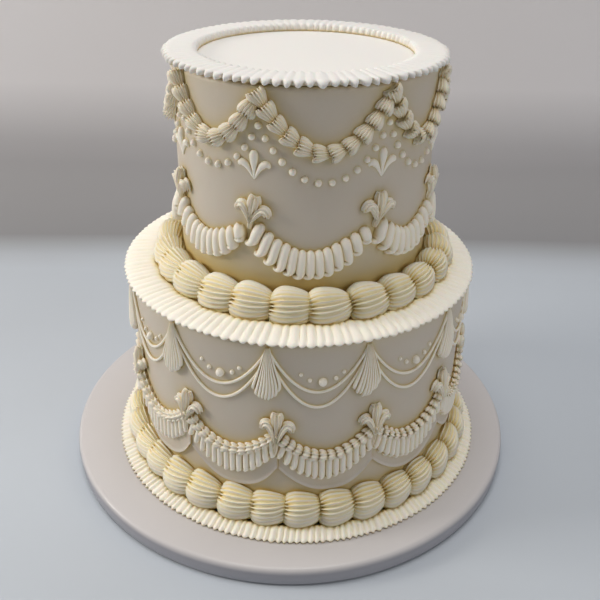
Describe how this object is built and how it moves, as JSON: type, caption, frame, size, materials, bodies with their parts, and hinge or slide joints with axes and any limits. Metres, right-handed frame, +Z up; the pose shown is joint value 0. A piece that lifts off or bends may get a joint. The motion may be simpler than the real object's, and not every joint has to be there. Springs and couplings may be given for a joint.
{
  "type": "tiered wedding cake",
  "caption": "Tall tiered wedding cake in ivory icing with piped shells, ruffles, garlands, fleurs and tassels, on its round iced board.",
  "frame": {"origin": "centre of the board's underside", "axes": "+Z up, -Y to the front, the side with the wide garland bay, +X to the right"},
  "size_m": [0.3048, 0.3048, 0.2722],
  "materials": {
    "piped_icing": "matte ivory icing with fine ridges, warmer in the grooves",
    "fondant": "smooth satin fondant, off white",
    "board_icing": "smooth pale icing with a satin edge"
  },
  "bodies": {
    "root": {"board": "board_icing", "lower_tier": "fondant", "upper_tier": "fondant", "scallop_plate": "fondant", "base_ruffle": "piped_icing", "middle_ruffle": "piped_icing", "top_ruffle": "piped_icing", "base_shells": "piped_icing", "middle_shells": "piped_icing", "lower_garland": "piped_icing", "shell_swags": "piped_icing", "upper_strings": "piped_icing", "lower_strings": "piped_icing", "lower_fleur_1": "piped_icing", "lower_fleur_2": "piped_icing", "lower_fleur_3": "piped_icing", "lower_fleur_4": "piped_icing", "lower_fleur_5": "piped_icing", "lower_fleur_6": "piped_icing", "lower_fleur_7": "piped_icing", "lower_fleur_8": "piped_icing", "lower_fleur_9": "piped_icing", "lower_fleur_10": "piped_icing", "lower_fleur_11": "piped_icing", "lower_fleur_12": "piped_icing", "tassel_1": "piped_icing", "tassel_2": "piped_icing", "tassel_3": "piped_icing", "tassel_4": "piped_icing", "tassel_5": "piped_icing", "tassel_6": "piped_icing", "tassel_7": "piped_icing", "tassel_8": "piped_icing", "tassel_9": "piped_icing", "tassel_10": "piped_icing", "tassel_11": "piped_icing", "tassel_12": "piped_icing", "upper_fleur_1": "piped_icing", "upper_fleur_2": "piped_icing", "upper_fleur_3": "piped_icing", "upper_fleur_4": "piped_icing", "upper_fleur_5": "piped_icing", "upper_fleur_6": "piped_icing", "upper_fleur_7": "piped_icing", "upper_fleur_8": "piped_icing", "upper_garland_1": "piped_icing", "upper_garland_2": "piped_icing", "upper_garland_3": "piped_icing", "upper_garland_4": "piped_icing", "upper_garland_5": "piped_icing", "upper_garland_6": "piped_icing", "upper_garland_7": "piped_icing", "upper_garland_8": "piped_icing"}
  },
  "joints": []
}
